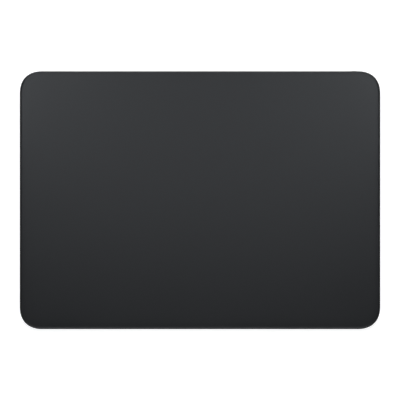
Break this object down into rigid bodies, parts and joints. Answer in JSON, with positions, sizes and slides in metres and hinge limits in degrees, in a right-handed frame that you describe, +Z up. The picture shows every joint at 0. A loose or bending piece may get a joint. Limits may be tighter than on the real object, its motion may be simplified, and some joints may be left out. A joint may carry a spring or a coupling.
{
  "type": "trackpad",
  "caption": "Wedge-shaped wireless trackpad with a matte black glass surface on a silver aluminium body.",
  "frame": {"origin": "on the desk under the middle of the body, midway between its sides and its front and rear faces", "axes": "+Z up from the desk, +Y towards the rear, where the charging port is, +X to the user's right"},
  "size_m": [0.16, 0.1149, 0.0108],
  "materials": {
    "etched_glass": "satin",
    "bead_blasted_aluminium": "satin",
    "black_adhesive": "matte",
    "circuit_laminate": "satin",
    "black_plastic": "matte",
    "stiffener_steel": "satin",
    "electrical_iron": "matte",
    "enamelled_copper": "gloss",
    "clear_gel": "gloss",
    "moulded_rubber": "matte",
    "polyimide_film": "gloss",
    "zinc_plated_steel": "satin",
    "cell_foil": "satin",
    "white_liner": "matte",
    "nickel_strip": "satin",
    "receptacle_steel": "satin",
    "gold_plate": "gloss",
    "green_film": "matte"
  },
  "bodies": {
    "case": {"case_frame": "bead_blasted_aluminium", "bottom_cover": "bead_blasted_aluminium", "cover_adhesive": "black_adhesive", "main_board": "circuit_laminate", "battery_board": "circuit_laminate", "board_chips": "black_plastic", "board_connectors": "black_plastic", "port_tongue": "black_plastic", "antenna_carrier": "black_plastic", "switch_housing": "black_plastic", "battery_cable": "black_plastic", "antenna_cable": "black_plastic", "force_beams": "stiffener_steel", "actuator_bracket": "stiffener_steel", "port_bracket": "stiffener_steel", "switch_bracket": "stiffener_steel", "radio_shield": "stiffener_steel", "actuator_core": "electrical_iron", "actuator_coils": "enamelled_copper", "rubber_feet": "moulded_rubber", "strain_gauges": "polyimide_film", "touch_flex": "polyimide_film", "gauge_flex": "polyimide_film", "switch_flex": "polyimide_film", "beam_screws": "zinc_plated_steel", "actuator_screws": "zinc_plated_steel", "board_screws": "zinc_plated_steel", "port_screws": "zinc_plated_steel", "switch_screws": "zinc_plated_steel", "battery_cells": "cell_foil", "battery_adhesive": "white_liner", "cell_tabs": "nickel_strip", "port_shell": "receptacle_steel", "port_contacts": "gold_plate", "switch_indicator": "green_film"},
    "pads": {"gel_pads": "clear_gel"},
    "touch_plate": {"touch_glass": "etched_glass", "glass_adhesive": "black_adhesive", "touch_board": "circuit_laminate", "touch_chips": "black_plastic", "touch_connector": "black_plastic", "stiffener_plate": "stiffener_steel", "armature_bar": "electrical_iron"},
    "power_slider": {"switch_knob": "bead_blasted_aluminium", "switch_post": "black_plastic"}
  },
  "joints": [
    {"name": "surface_press", "type": "slide", "parent": "case", "child": "pads", "axis": [0, 0.0524, -0.9986], "range_m": [0, 0.0002], "stiffness_N_per_m": 15000, "springref_m": -0.0001, "deforming": ["force_beams", "touch_flex", "strain_gauges", "gauge_flex"]},
    {"name": "haptic_shift", "type": "slide", "parent": "pads", "child": "touch_plate", "axis": [1, 0, 0], "range_m": [-0.00015, 0.00015], "stiffness_N_per_m": 60000, "deforming": ["gel_pads", "touch_flex"]},
    {"name": "power_slide", "type": "slide", "parent": "case", "child": "power_slider", "axis": [1, 0, 0], "range_m": [-0.0028, 0]}
  ]
}
